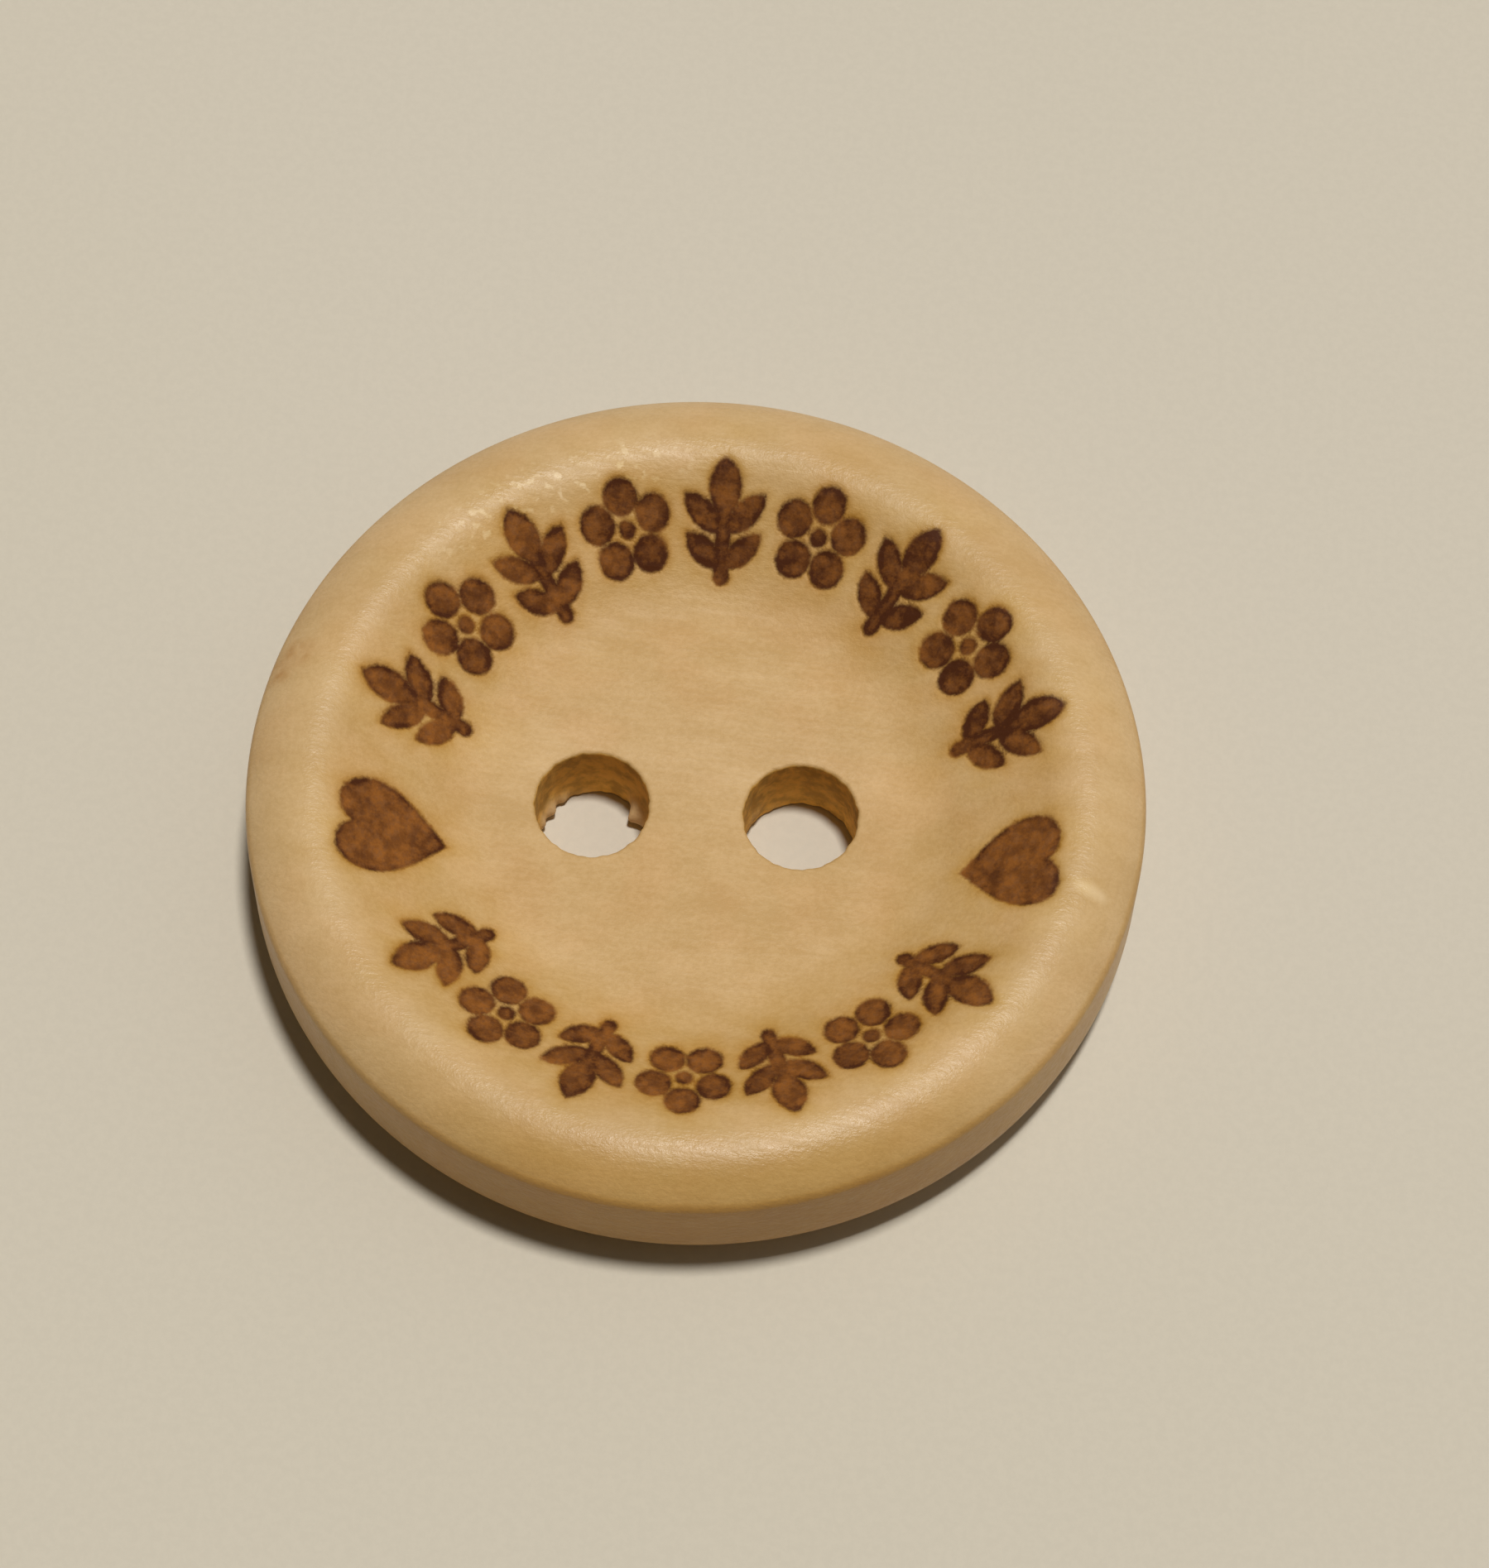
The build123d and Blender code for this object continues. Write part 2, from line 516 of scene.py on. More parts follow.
def outline_distance(points, outline):
    """Signed distance from a closed outline, negative inside it."""
    nearest = np.full(len(points), np.inf)
    inside = np.zeros(len(points), bool)
    for start, end in zip(outline, np.roll(outline, -1, axis=0)):
        run = end - start
        span = run @ run
        if span == 0.0:
            continue
        share = np.clip((points - start) @ run / span, 0.0, 1.0)
        away = np.linalg.norm(points - start - share[:, None] * run, axis=1)
        nearest = np.minimum(nearest, away)
        crosses = (start[1] > points[:, 1]) != (end[1] > points[:, 1])
        if start[1] != end[1]:
            level = start[0] + (points[:, 1] - start[1]) * run[0] / run[1]
            inside ^= crosses & (points[:, 0] < level)
    return np.where(inside, -nearest, nearest)


def burn_distance(points, ornament):
    """Signed distance from the whole ornament, in metres, at points of the face."""
    distance = np.full(len(points), CLEAR_OF_BURN * MM)
    arcs = (
        (ornament.far_middle, ornament.far_pitch, ornament.far_motifs),
        (ornament.near_middle, ornament.near_pitch, ornament.near_motifs),
    )
    for middle, pitch, motifs in arcs:
        for index in range(motifs):
            turn = middle + pitch * (index - (motifs - 1) / 2)
            centre = (
                ornament.shift + ornament.ring_radius * math.cos(turn),
                ornament.ring_radius * math.sin(turn),
            )
            local = place_points(points, centre, turn)
            if index % 2 == 0:
                mark = sprig_distance(local, ornament.sprig_height)
            else:
                mark = flower_distance(local, ornament.flower_width)
            distance = np.minimum(distance, mark)
    hearts = (
        (-1, ornament.left_width, ornament.left_length),
        (1, ornament.right_width, ornament.right_length),
    )
    for side, width, height in hearts:
        outline = heart_outline(width, height)
        tip = (ornament.shift + side * ornament.heart_reach, -ornament.heart_drop)
        local = place_points(points, tip, 0.0 if side > 0 else math.pi)
        distance = np.minimum(distance, outline_distance(local, outline))
    return distance


def smooth_step(low, high, value):
    share = np.clip((value - low) / (high - low), 0.0, 1.0)
    return share * share * (3 - 2 * share)


# Torn fibres left by the drill: hole, degrees round it, height, how far in, half width in
# degrees, half height, with all lengths in millimetres
TORN_FIBRES = (
    (0, 33.0, 0.40, 0.44, 13.0, 0.44),
    (0, 148.0, 0.34, 0.25, 9.0, 0.34),
    (0, 128.0, 0.28, 0.14, 8.0, 0.28),
    (0, 166.0, 0.34, 0.20, 7.0, 0.32),
    (0, 104.0, 0.12, 0.05, 12.0, 0.20),
    (1, 150.0, 0.60, 0.07, 12.0, 0.30),
    (1, 120.0, 0.15, 0.04, 9.0, 0.20),
)

# How far in a torn fibre has to stand to look fully pale, in millimetres
PALE_FIBRE = 0.15

# Ripple of a bored wall in millimetres, a product of waves: how many go round the hole, their
# lean with the height, more phase for the second hole
RIPPLE_DEPTH = 0.014
RIPPLE_WAVES = (
    (9, 2.1, 1),
    (6, 4.3, 0),
)

# Fraying of a bored wall in millimetres, a sum of waves: how many go round the hole, their
# phase, more phase for the second hole, share
FRAY_DEPTH = 0.007
FRAY_WAVES = (
    (13, 0.0, 2, 1.0),
    (23, 1.0, 0, 1.0),
    (37, 0.0, 3, 0.8),
)

# The marks keep this far from the side, and a hole's points end so far past its mouth
UNMARKED_EDGE = 0.5 * MM
MOUTH_MARGIN = 0.02 * MM

# Share of the sanded mouth over which the raw wood fades out
RAW_MOUTH = 0.3


def roughen_bore(points, place, hole):
    """Moves a hole's wall where the drill tore it, and says how pale its fibres are."""
    across = points[:, 0] - place.x
    up = points[:, 1] - place.y
    radius = np.hypot(across, up)
    turn = np.degrees(np.arctan2(up, across))
    height = points[:, 2] / MM
    torn = np.zeros(len(points))
    for owner, centre, level, depth, width, rise in TORN_FIBRES:
        if owner == hole:
            away = ((turn - centre) / width) ** 2 + ((height - level) / rise) ** 2
            torn += depth * np.exp(-away)
    around = np.radians(turn)
    ripple = np.ones(len(points))
    for waves, lean, hole_phase in RIPPLE_WAVES:
        ripple *= np.sin(waves * around + lean * height + hole_phase * hole)
    fray = np.zeros(len(points))
    for waves, phase, hole_phase, share in FRAY_WAVES:
        fray += share * np.sin(waves * around + phase + hole_phase * hole)
    inward = torn + RIPPLE_DEPTH * ripple + FRAY_DEPTH * fray
    share = np.clip(1 - inward * MM / radius, 0.0, 2.0)
    moved = points.copy()
    moved[:, 0] = place.x + across * share
    moved[:, 1] = place.y + up * share
    return moved, np.clip(torn / PALE_FIBRE, 0.0, 1.0)


def add_attribute(mesh, name, values):
    attribute = mesh.attributes.new(name=name, type="FLOAT", domain="POINT")
    attribute.data.foreach_set("value", values.astype(np.float32))


def burn_face(mesh, shape, ornament, places):
    """Sinks the ornament into the face, roughens the holes and stores both as attributes."""
    points = np.zeros(len(mesh.vertices) * 3, np.float32)
    mesh.vertices.foreach_get("co", points)
    points = points.reshape(-1, 3).astype(float)
    radius = np.hypot(points[:, 0], points[:, 1])
    above_dish = points[:, 2] > shape.centre_thickness - LEVEL_TOLERANCE
    on_face = above_dish & (radius < shape.diameter / 2 - UNMARKED_EDGE)
    distance = np.full(len(points), CLEAR_OF_BURN * MM)
    distance[on_face] = burn_distance(points[on_face, :2], ornament)
    sunk = smooth_step(ornament.wall / 2, -ornament.wall / 2, distance)
    points[:, 2] -= ornament.depth * sunk
    bored = np.zeros(len(points))
    torn = np.zeros(len(points))
    for hole, place in enumerate(places):
        from_axis = np.hypot(points[:, 0] - place.x, points[:, 1] - place.y)
        on_wall = from_axis < shape.hole_radius + shape.mouth_rounding + MOUTH_MARGIN
        past_wall = (from_axis[on_wall] - shape.hole_radius) / shape.mouth_rounding
        bored[on_wall] = smooth_step(RAW_MOUTH, 0.0, past_wall)
        points[on_wall], torn[on_wall] = roughen_bore(points[on_wall], place, hole)
    mesh.vertices.foreach_set("co", points.astype(np.float32).ravel())
    add_attribute(mesh, BURN_ATTRIBUTE, distance / MM)
    add_attribute(mesh, BORE_ATTRIBUTE, bored)
    add_attribute(mesh, TORN_ATTRIBUTE, torn)
    mesh.update()


# Materials, whose tables give places and reaches in millimetres


class Noise(NamedTuple):
    """A noise pattern, with its waves per millimetre and its shift in metres."""

    waves: tuple
    detail: float = 2.0
    roughness: float = 0.5
    shift: tuple = (0.0, 0.0, 0.0)


# Patterns of the bare wood, drawn out along its grain
GRAIN = {
    "cloud": Noise((0.16, 0.42, 0.42)),
    "band": Noise((0.035, 0.5, 0.3), detail=1.0, shift=(0.011, 0.004, 0.0)),
    "fibre": Noise((0.5, 6.0, 6.0), detail=4.0, roughness=0.6),
    "fleck": Noise((1.3, 9.0, 5.0), shift=(0.003, 0.0, 0.0)),
    "mottle": Noise((0.9, 1.3, 1.3), detail=3.0),
    "pores": Noise((6.0, 8.5, 8.5), detail=3.0, roughness=0.7),
    "blush": Noise((0.45, 0.6, 0.6), detail=3.0, shift=(0.005, 0.0, 0.0)),
}

# Patterns of the marks and their edges, which have no grain
CHAR = {
    "speckle": Noise((2.2, 2.2, 2.2), detail=4.0, roughness=0.6),
    "wander": Noise((5.5, 5.5, 5.5), detail=3.0, roughness=0.65),
    "slow_wander": Noise((1.1, 1.1, 1.1), detail=1.0),
    "fine_wander": Noise((15.0, 15.0, 15.0)),
    "patch": Noise((0.9, 0.9, 0.9), shift=(0.002, 0.0, 0.0)),
}

# How the patterns darken bare wood: the noise at which each starts and is full, its share
TONES = {
    "cloud": (0.32, 0.68, 0.30),
    "band": (0.35, 0.65, 0.24),
    "fibre": (0.3, 0.7, 0.10),
    "mottle": (0.3, 0.7, 0.28),
    "pores": (0.34, 0.66, 0.36),
    "fleck": (0.62, 0.72, 0.12),
}
BLUSH_RANGE = (0.4, 0.65)
SMUDGE_RANGE = (0.25, 0.6)

# How much of the rim's paler colour shows; it is partly burnished wood and partly painted sheen
RIM_SHEEN_SHARE = 0.14

# Browner stretch of the near rim: its middle, and where it fades out and is full
NEAR_RIM_MIDDLE = (1.0, -14.0)
NEAR_RIM_REACH = (12.5, 4.5)

# Brown smudges on the rim: place, size, strength
SMUDGES = (
    ((-11.37, 3.31), 0.62, 1.0),
    ((-11.90, 2.69), 0.60, 1.0),
)

# Painted glints along a short burnished scratch: place, size, strength
GLINT_SPOTS = (
    ((10.64, -2.57), 0.34, 0.5),
    ((10.86, -2.67), 0.36, 0.7),
    ((11.08, -2.76), 0.36, 0.6),
    ((11.29, -2.86), 0.30, 0.4),
)

# Painted glints of open pores on the crest: noise, middle, reach, band between two circles, share
GLINT = Noise((3.2, 3.2, 3.2), shift=(0.007, 0.0, 0.0))
GLINT_RANGE = (0.55, 0.68)
GLINT_MIDDLE = (-5.0, 9.8)
GLINT_REACH = (5.5, 2.0)
GLINT_INNER_FADE = (9.2, 9.9)
GLINT_OUTER_FADE = (11.2, 10.4)
GLINT_SHARE = 0.8

# Darker speckles of the raw wood in the holes, as a share of its colour
RAW_SHADE = 0.6
RAW_RANGE = (0.35, 0.65)

# How far each wander moves the edge of a mark
EDGE_WANDER = {"wander": 0.14, "slow_wander": 0.07, "fine_wander": 0.05}

# Smoke stain and scorch: how fast they fade per millimetre, their noise and their strengths
HAZE_FADE = 1.1
HAZE_RANGE = (0.3, 0.7, 0.35, 1.0)
SCORCH_FADE = 8.0
SCORCH_RANGE = (0.3, 0.7, 0.5, 1.0)

# Distances from the outline between which a mark's colour starts
MARK_EDGE = (0.055, -0.085)

# Darkness of the char: where it is heaviest, its rim inside the outline, noises and shares
HEAVIEST_BURN = (4.0, 10.0)
HEAVY_REACH = (14.0, 6.0)
HEAVY_SHARE = 0.24
CHAR_RIM = (-0.26, -0.04)
CHAR_RIM_RANGE = (0.3, 0.6, 0.1, 0.45)
SPECKLE_RANGE = (0.34, 0.64)
SPECKLE_SHARE = 0.50
PATCH_RANGE = (0.3, 0.7)
PATCH_SHARE = 0.34
FINE_SHARE = 0.35
ASH_RANGE = (0.45, 0.62)

# Noise of the fibres, and the roughness that they take away and add
FIBRE_GLOSS = (0.3, 0.7, -0.05, 0.06)

# Shares of fibres and pores in the relief, and how strong the two reliefs are
FIBRE_RELIEF = 0.3
PORE_RELIEF = 0.7
GRAIN_BUMP = 0.8
CHAR_BUMP = 0.6

# The table top: its patterns, their tints and how strong its relief is
PEBBLE = Noise((1.6, 1.6, 1.6))
GRIT = Noise((4.0, 4.0, 4.0), detail=3.0, roughness=0.7)
DRIFT = Noise((0.02, 0.02, 0.02), detail=1.0)
FLOOR_RANGE = (0.35, 0.65)
DRIFT_TINT = (0.985, 0.985, 0.97)
GRIT_TINT = (0.97, 0.97, 0.97)
PEBBLE_BUMP = 0.5

# A Mix node's sockets for colours
MIX_FIRST = 6
MIX_SECOND = 7
MIX_RESULT = 2


class Graph:
    """A material's node tree, with short calls for the nodes that it uses."""

    def __init__(self, name):
        self.material = bpy.data.materials.new(name)
        self.material.use_nodes = True
        self.nodes = self.material.node_tree.nodes
        self.links = self.material.node_tree.links
        self.shader = self.nodes["Principled BSDF"]

    def plug(self, value, socket):
        """Links a socket, or sets a plain value."""
        if isinstance(value, bpy.types.NodeSocket):
            self.links.new(value, socket)
        elif value is not None:
            socket.default_value = value

    def noise(self, pattern, turn=0.0):
        """A noise pattern on object coordinates, turned about Z, shifted and stretched."""
        coordinates = self.nodes.new("ShaderNodeTexCoord")
        turned = self.nodes.new("ShaderNodeMapping")
        turned.inputs["Rotation"].default_value = (0.0, 0.0, turn)
        turned.inputs["Location"].default_value = pattern.shift
        stretched = self.nodes.new("ShaderNodeMapping")
        stretched.inputs["Scale"].default_value = tuple(part / MM for part in pattern.waves)
        node = self.nodes.new("ShaderNodeTexNoise")
        node.inputs["Scale"].default_value = 1.0
        node.inputs["Detail"].default_value = pattern.detail
        node.inputs["Roughness"].default_value = pattern.roughness
        self.links.new(coordinates.outputs["Object"], turned.inputs["Vector"])
        self.links.new(turned.outputs["Vector"], stretched.inputs["Vector"])
        self.links.new(stretched.outputs["Vector"], node.inputs["Vector"])
        return node.outputs["Fac"]

    def distance(self, place):
        """Distance from an upright axis at a place, seen from above, all in millimetres."""
        coordinates = self.nodes.new("ShaderNodeTexCoord")
        flattened = self.nodes.new("ShaderNodeMapping")
        flattened.inputs["Location"].default_value = (-place[0], -place[1], 0.0)
        flattened.inputs["Scale"].default_value = (1 / MM, 1 / MM, 0.0)
        reach = self.nodes.new("ShaderNodeVectorMath")
        reach.operation = "LENGTH"
        self.links.new(coordinates.outputs["Object"], flattened.inputs["Vector"])
        self.links.new(flattened.outputs["Vector"], reach.inputs[0])
        return reach.outputs["Value"]

    def attribute(self, name):
        node = self.nodes.new("ShaderNodeAttribute")
        node.attribute_name = name
        return node.outputs["Fac"]

    def sum(self, first, second):
        return self.calculate("ADD", first, second)

    def times(self, first, second):
        return self.calculate("MULTIPLY", first, second)

    def calculate(self, operation, first, second=None, third=None):
        node = self.nodes.new("ShaderNodeMath")
        node.operation = operation
        for index, value in enumerate((first, second, third)):
            self.plug(value, node.inputs[index])
        return node.outputs["Value"]

    def spread(self, value, low, high, start=0.0, end=1.0, smooth=True):
        """Maps a value from low..high to start..end, held at both ends."""
        node = self.nodes.new("ShaderNodeMapRange")
        node.interpolation_type = "SMOOTHSTEP" if smooth else "LINEAR"
        node.inputs["From Min"].default_value = low
        node.inputs["From Max"].default_value = high
        node.inputs["To Min"].default_value = start
        node.inputs["To Max"].default_value = end
        self.links.new(value, node.inputs["Value"])
        return node.outputs["Result"]

    def centred(self, noise, share):
        """A share of a noise, moved so that it swings to both sides of nought."""
        return self.times(self.sum(noise, -0.5), share)

    def mix(self, factor, first, second, blend="MIX"):
        """Mixes two colours, or tints the first by the second with MULTIPLY."""
        node = self.nodes.new("ShaderNodeMix")
        node.data_type = "RGBA"
        node.blend_type = blend
        self.plug(factor, node.inputs["Factor"])
        for value, socket in ((first, MIX_FIRST), (second, MIX_SECOND)):
            if not isinstance(value, bpy.types.NodeSocket):
                value = (*value, 1.0)
            self.plug(value, node.inputs[socket])
        return node.outputs[MIX_RESULT]

    def bump(self, height, distance, strength, normal=None):
        node = self.nodes.new("ShaderNodeBump")
        node.inputs["Distance"].default_value = distance
        node.inputs["Strength"].default_value = strength
        self.links.new(height, node.inputs["Height"])
        self.plug(normal, node.inputs["Normal"])
        return node.outputs["Normal"]


def bare_wood(graph, finish, grain, from_axis, rim_polish_and_sheen):
    """The wood between the marks: grain, rim paled partly by wear and partly by painted sheen,
    browner near rim, side darkened by painted shade, stains and painted glints.
    """
    tone = 0.0
    for name, (low, high, share) in TONES.items():
        tone = graph.sum(tone, graph.times(graph.spread(grain[name], low, high), share))
    bare = graph.mix(tone, finish.pale, finish.deep)
    bare = graph.mix(graph.spread(grain["blush"], *BLUSH_RANGE), bare, finish.blush, "MULTIPLY")

    # Rim paled partly by wear and partly by painted sheen
    bare = graph.mix(graph.times(rim_polish_and_sheen, RIM_SHEEN_SHARE), bare, finish.rim)
    near_rim_tint = graph.times(
        graph.spread(from_axis, finish.rim_full / MM, finish.near_rim_full / MM),
        graph.spread(graph.distance(NEAR_RIM_MIDDLE), *NEAR_RIM_REACH),
    )
    bare = graph.mix(near_rim_tint, bare, finish.near_rim_tint, "MULTIPLY")
    # Painted shade on the side
    side = graph.spread(from_axis, finish.side_shade_start / MM, finish.side_shade_full / MM)
    bare = graph.mix(side, bare, finish.side, "MULTIPLY")

    for place, size, strength in SMUDGES:
        stain = graph.times(graph.spread(graph.distance(place), size, 0.0), strength)
        stain = graph.times(stain, graph.spread(grain["mottle"], *SMUDGE_RANGE))
        bare = graph.mix(stain, bare, finish.smudge, "MULTIPLY")
    # Painted glints along the burnished scratch
    for place, size, strength in GLINT_SPOTS:
        worn_and_glinting = graph.times(graph.spread(graph.distance(place), size, 0.0), strength)
        bare = graph.mix(worn_and_glinting, bare, finish.worn_and_glinting)

    # Painted glints of open pores on the crest
    glint = graph.spread(graph.noise(GLINT), *GLINT_RANGE)
    glint = graph.times(glint, graph.spread(from_axis, *GLINT_INNER_FADE))
    glint = graph.times(glint, graph.spread(from_axis, *GLINT_OUTER_FADE))
    glint = graph.times(glint, graph.spread(graph.distance(GLINT_MIDDLE), *GLINT_REACH))
    return graph.mix(graph.times(glint, GLINT_SHARE), bare, finish.worn_and_glinting)


def raw_wood(graph, finish, speckle):
    """Raw wood in the thread holes, with pale torn fibres."""
    shaded = tuple(part * RAW_SHADE for part in finish.bore)
    raw = graph.mix(graph.spread(speckle, *RAW_RANGE), finish.bore, shaded)
    return graph.mix(graph.attribute(TORN_ATTRIBUTE), raw, finish.pale)


def ragged_distance(graph, char):
    """Distance from the marks in millimetres, with edges that wander."""
    ragged = graph.attribute(BURN_ATTRIBUTE)
    for name, reach in EDGE_WANDER.items():
        ragged = graph.sum(ragged, graph.centred(char[name], reach))
    return ragged


def scorched_wood(graph, finish, bare, ragged, mottle, slow_wander):
    """Wood with a faint smoke stain round the marks, and yellow scorch right beside them."""
    outside = graph.calculate("MAXIMUM", ragged, 0.0)
    haze = graph.calculate("EXPONENT", graph.times(outside, -HAZE_FADE))
    haze = graph.times(haze, graph.spread(mottle, *HAZE_RANGE))
    scorched = graph.mix(haze, bare, finish.haze, "MULTIPLY")
    scorch = graph.calculate("EXPONENT", graph.times(outside, -SCORCH_FADE))
    scorch = graph.times(scorch, graph.spread(slow_wander, *SCORCH_RANGE))
    return graph.mix(scorch, scorched, finish.scorch, "MULTIPLY")


def burnt_wood(graph, finish, ragged, char):
    """Char of the marks, darkest on the far right and along their edges."""
    heavy = graph.spread(graph.distance(HEAVIEST_BURN), *HEAVY_REACH)
    edge = graph.spread(ragged, *CHAR_RIM)
    edge = graph.times(edge, graph.spread(char["patch"], *CHAR_RIM_RANGE))
    speckles = graph.times(graph.spread(char["speckle"], *SPECKLE_RANGE), SPECKLE_SHARE)
    patches = graph.times(graph.spread(char["patch"], *PATCH_RANGE), PATCH_SHARE)
    darkness = graph.calculate("MULTIPLY_ADD", heavy, HEAVY_SHARE, edge)
    darkness = graph.sum(darkness, speckles)
    darkness = graph.sum(darkness, patches)
    darkness = graph.sum(darkness, graph.centred(char["fine_wander"], FINE_SHARE))
    darkness = graph.spread(darkness, 0.0, 1.0, smooth=False)
    ashy = graph.mix(graph.spread(char["wander"], *ASH_RANGE), finish.toast, finish.ash)
    return graph.mix(darkness, ashy, finish.char)


def wood_material(finish):
    """Pale waxed hardwood with burnt marks that follow the stored distance."""
    graph = Graph("waxed_pale_hardwood")
    grain = {name: graph.noise(pattern, finish.grain_turn) for name, pattern in GRAIN.items()}
    char = {name: graph.noise(pattern) for name, pattern in CHAR.items()}
    from_axis = graph.distance((0.0, 0.0))
    rim_polish_and_sheen = graph.spread(from_axis, finish.rim_start / MM, finish.rim_full / MM)
    bored = graph.attribute(BORE_ATTRIBUTE)
    ragged = ragged_distance(graph, char)
    mark = graph.spread(ragged, *MARK_EDGE)

    bare = bare_wood(graph, finish, grain, from_axis, rim_polish_and_sheen)
    bare = graph.mix(bored, bare, raw_wood(graph, finish, char["speckle"]))
    scorched = scorched_wood(graph, finish, bare, ragged, grain["mottle"], char["slow_wander"])
    face = graph.mix(mark, scorched, burnt_wood(graph, finish, ragged, char))
    graph.links.new(face, graph.shader.inputs["Base Color"])

    # The rim is polished by wear, and burnt and raw wood are dry
    polish = finish.rim_roughness - finish.dish_roughness
    rough = graph.calculate("MULTIPLY_ADD", rim_polish_and_sheen, polish, finish.dish_roughness)
    rough = graph.sum(rough, graph.spread(grain["fibre"], *FIBRE_GLOSS))
    dry = graph.calculate("MAXIMUM", mark, bored)
    rough = graph.sum(rough, graph.times(dry, finish.dryness))
    graph.links.new(rough, graph.shader.inputs["Roughness"])

    fibres = graph.times(grain["fibre"], FIBRE_RELIEF)
    pores = graph.times(grain["pores"], PORE_RELIEF)
    normal = graph.bump(graph.sum(fibres, pores), finish.grain_relief, GRAIN_BUMP)
    crumbs = graph.times(char["speckle"], mark)
    normal = graph.bump(crumbs, finish.char_relief, CHAR_BUMP, normal)
    graph.links.new(normal, graph.shader.inputs["Normal"])
    graph.shader.inputs["Specular IOR Level"].default_value = finish.gloss
    return graph.material


def floor_material(stage):
    """A pale, faintly pebbled table top."""
    graph = Graph("pale_table_top")
    pale = tuple(stage.floor_colour)
    tinted = tuple(part * share for part, share in zip(pale, DRIFT_TINT))
    tone = graph.mix(graph.spread(graph.noise(DRIFT), *FLOOR_RANGE), pale, tinted)
    grit = graph.spread(graph.noise(GRIT), *FLOOR_RANGE)
    tone = graph.mix(grit, tone, GRIT_TINT, "MULTIPLY")
    graph.links.new(tone, graph.shader.inputs["Base Color"])
    normal = graph.bump(graph.noise(PEBBLE), stage.floor_relief, PEBBLE_BUMP)
    graph.links.new(normal, graph.shader.inputs["Normal"])
    graph.shader.inputs["Roughness"].default_value = stage.floor_roughness
    graph.shader.inputs["Specular IOR Level"].default_value = stage.floor_gloss
    return graph.material


# Pieces and stage


def add_object(name, data):
    thing = bpy.data.objects.new(name, data)
    bpy.context.scene.collection.objects.link(thing)
    return thing


def mesh_object(name, shaped, material):
    mesh = bpy.data.meshes.new(name)
    shaped.to_mesh(mesh)
    shaped.free()
    mesh.polygons.foreach_set("use_smooth", [True] * len(mesh.polygons))
    mesh.materials.append(material)
    return add_object(name, mesh)


class BUTTON_OT_turned_button(bpy.types.Operator):
    """Turns, drills and burns the wooden button"""

    bl_idname = "button.turned_button"
    bl_label = "Turned Button"
    bl_options = {"REGISTER", "UNDO"}

    def execute(self, context):
        shape, ornament, finish, _ = settings()
        places = [Vector(mount["pos_m"][:2]) for mount in bore_mounts()]
        piece = mesh_object("turned_button", shape_button(shape, places), wood_material(finish))
        burn_face(piece.data, shape, ornament, places)
        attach(piece, BODY)
        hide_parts(NODE)
        return {"FINISHED"}


def add_floor(stage):
    shaped = bmesh.new()
    bmesh.ops.create_grid(shaped, x_segments=1, y_segments=1, size=stage.floor_size / 2)
    bmesh.ops.translate(shaped, verts=shaped.verts, vec=(0.0, 0.0, -stage.floor_drop))
    mesh_object("table_top", shaped, floor_material(stage))


def add_camera(stage):
    azimuth = stage.camera_azimuth
    elevation = stage.camera_elevation
    back = Vector((
        math.sin(azimuth) * math.cos(elevation),
        -math.cos(azimuth) * math.cos(elevation),
        math.sin(elevation),
    ))
    right = Vector((math.cos(azimuth), math.sin(azimuth), 0.0))
    turned = Matrix((right, back.cross(right), back)).transposed()
    turned = turned @ Matrix.Rotation(stage.camera_roll, 3, "Z")
    data = bpy.data.cameras.new("photo_camera")
    data.sensor_width = SENSOR
    data.lens = stage.camera_focus / max(PHOTO_WIDTH, PHOTO_HEIGHT) * SENSOR
    data.clip_start = 0.005
    data.clip_end = 20.0
    camera = add_object("photo_camera", data)
    target = Vector((stage.target_x, stage.target_y, stage.target_z))
    place = Matrix.Translation(target + back * stage.camera_distance)
    camera.matrix_world = place @ turned.to_4x4()
    bpy.context.scene.camera = camera


def add_sun(name, strength, spread, tint, tilt, azimuth):
    """A soft distant light that leans from overhead to one side of the button."""
    data = bpy.data.lights.new(name, "SUN")
    data.energy = strength
    data.angle = spread
    data.color = tint
    sun = add_object(name, data)
    towards = Vector((
        math.sin(tilt) * math.cos(azimuth),
        math.sin(tilt) * math.sin(azimuth),
        math.cos(tilt),
    ))
    sun.rotation_mode = "QUATERNION"
    sun.rotation_quaternion = towards.to_track_quat("Z", "Y")
    sun.location = towards


def add_lights(stage):
    add_sun(
        "soft_overhead_lamp", stage.lamp_strength, stage.lamp_spread, stage.lamp_colour,
        stage.lamp_tilt, stage.lamp_azimuth,
    )
    add_sun(
        "soft_window", stage.window_strength, stage.window_spread, stage.window_colour,
        stage.window_tilt, stage.window_azimuth,
    )


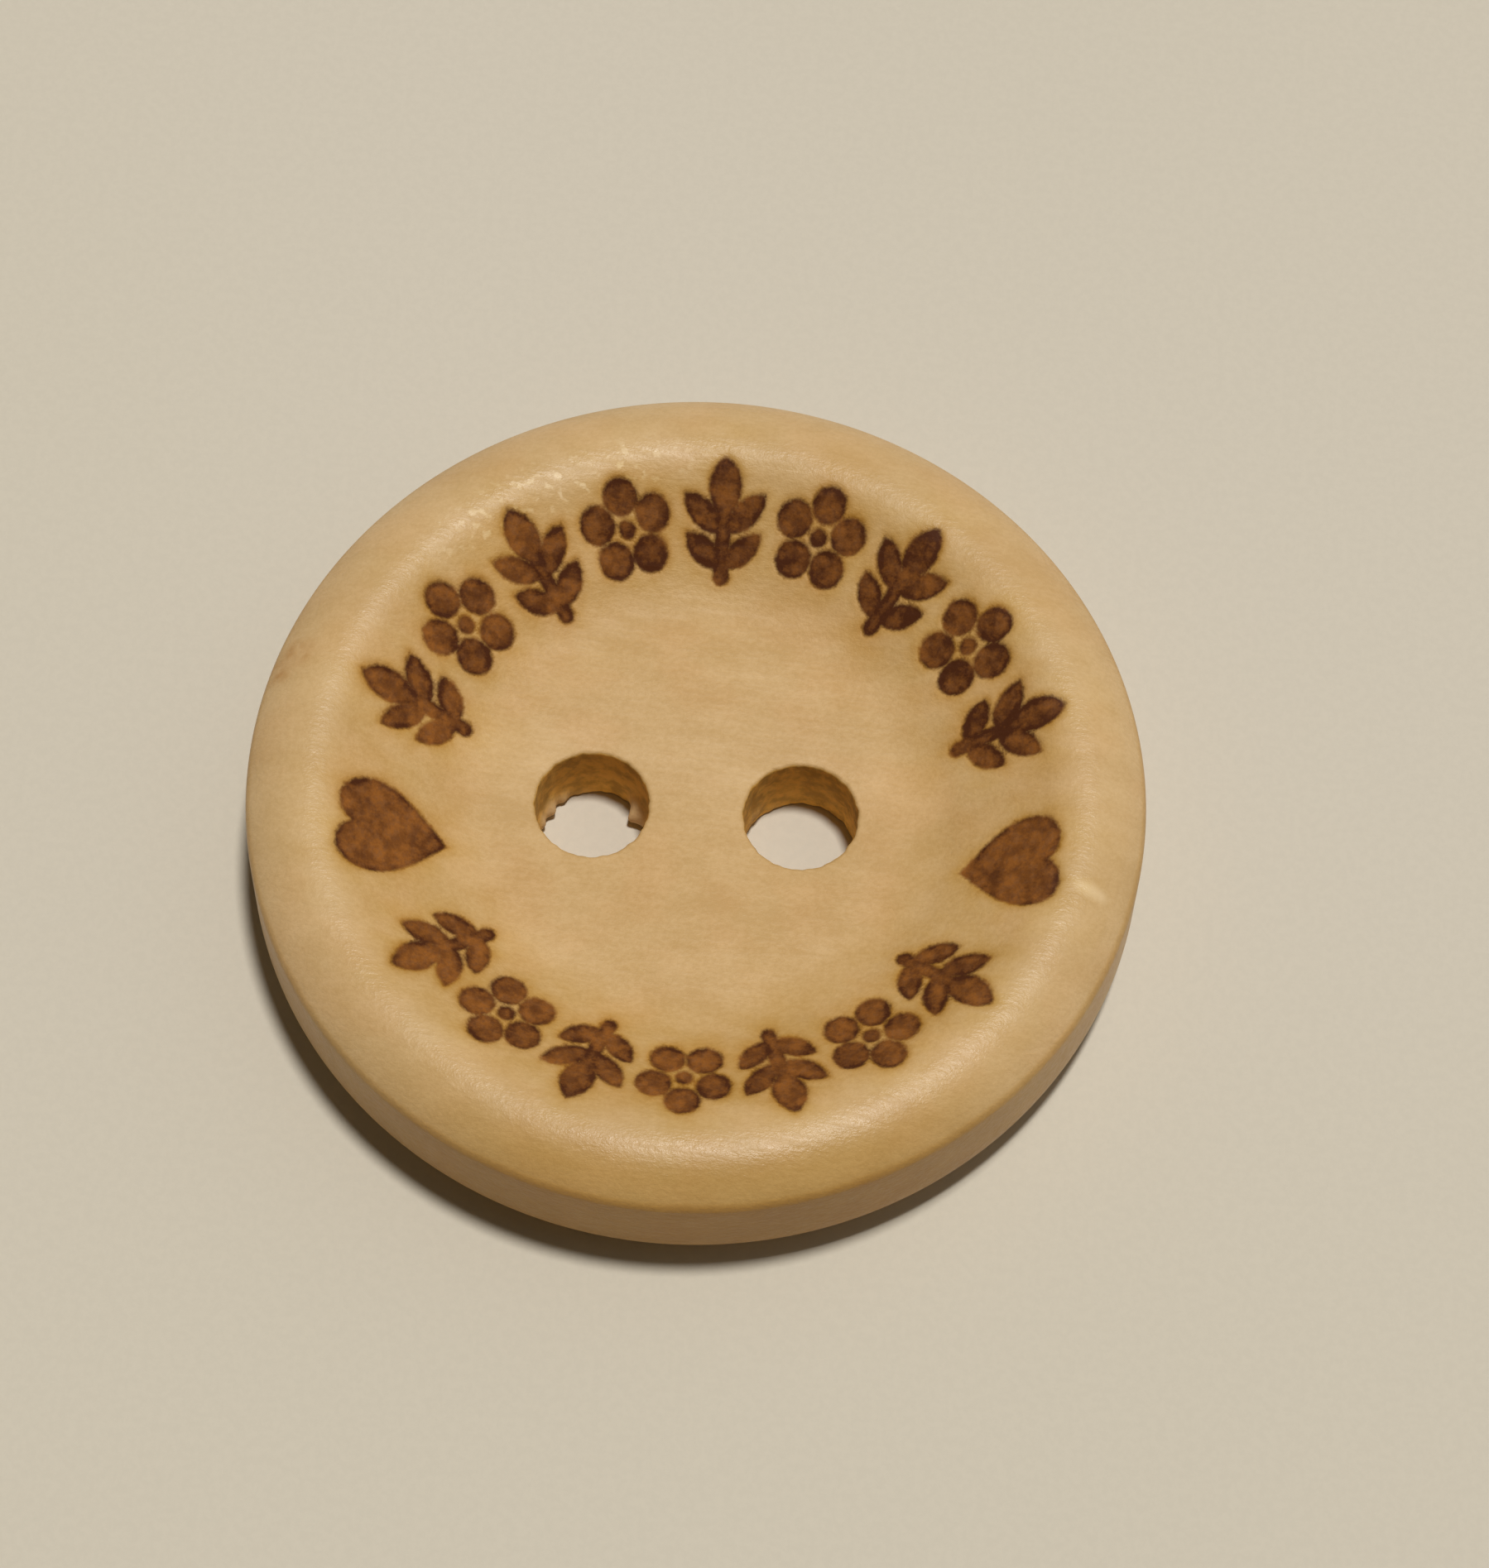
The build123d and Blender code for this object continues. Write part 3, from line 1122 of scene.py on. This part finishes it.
def light_room(stage):
    """Low warm fill, and the floor's own colour for camera, glossy and transmission rays."""
    world = bpy.data.worlds.new("plain_room")
    world.use_nodes = True
    bpy.context.scene.world = world
    nodes = world.node_tree.nodes
    links = world.node_tree.links
    nodes.clear()
    fill = nodes.new("ShaderNodeBackground")
    fill.inputs["Color"].default_value = (*stage.fill_colour, 1.0)
    fill.inputs["Strength"].default_value = stage.fill_strength
    seen = nodes.new("ShaderNodeBackground")
    seen.inputs["Color"].default_value = (*stage.floor_colour, 1.0)
    ray = nodes.new("ShaderNodeLightPath")
    seen_ray = ray.outputs["Is Camera Ray"]
    for kind in ("Is Glossy Ray", "Is Transmission Ray"):
        either = nodes.new("ShaderNodeMath")
        either.operation = "MAXIMUM"
        links.new(seen_ray, either.inputs[0])
        links.new(ray.outputs[kind], either.inputs[1])
        seen_ray = either.outputs["Value"]
    choice = nodes.new("ShaderNodeMixShader")
    output = nodes.new("ShaderNodeOutputWorld")
    links.new(seen_ray, choice.inputs["Fac"])
    links.new(fill.outputs["Background"], choice.inputs[1])
    links.new(seen.outputs["Background"], choice.inputs[2])
    links.new(choice.outputs["Shader"], output.inputs["Surface"])


class BUTTON_OT_stage(bpy.types.Operator):
    """Adds the camera, the pale floor, the lamp, the window's light and the room"""

    bl_idname = "button.stage"
    bl_label = "Stage"
    bl_options = {"REGISTER", "UNDO"}

    def execute(self, context):
        stage = settings()[-1]
        context.scene.view_settings.view_transform = "Standard"
        add_camera(stage)
        add_floor(stage)
        add_lights(stage)
        light_room(stage)
        return {"FINISHED"}


class BUTTON_PT_panel(bpy.types.Panel):
    """Lists the button's operators and settings"""

    bl_idname = "BUTTON_PT_panel"
    bl_label = "Wooden Button"
    bl_space_type = "VIEW_3D"
    bl_region_type = "UI"
    bl_category = "Button"

    def draw(self, context):
        for operator in OPERATORS:
            self.layout.operator(operator.bl_idname)
        for group in settings():
            box = self.layout.box()
            for name in group.__annotations__:
                box.prop(group, name)


GROUPS = {
    "button_shape": ButtonShape,
    "button_ornament": ButtonOrnament,
    "button_finish": ButtonFinish,
    "button_stage": ButtonStage,
}
OPERATORS = (BUTTON_OT_stage, BUTTON_OT_turned_button)


def register():
    for group in GROUPS.values():
        bpy.utils.register_class(group)
    for operator in OPERATORS:
        bpy.utils.register_class(operator)
    bpy.utils.register_class(BUTTON_PT_panel)
    for name, group in GROUPS.items():
        setattr(bpy.types.Scene, name, bpy.props.PointerProperty(type=group))


def unregister():
    for name in GROUPS:
        delattr(bpy.types.Scene, name)
    bpy.utils.unregister_class(BUTTON_PT_panel)
    for operator in reversed(OPERATORS):
        bpy.utils.unregister_class(operator)
    for group in reversed(list(GROUPS.values())):
        bpy.utils.unregister_class(group)


def main():
    register()
    bpy.ops.button.stage()
    bpy.ops.button.turned_button()


if __name__ == "__main__":
    main()
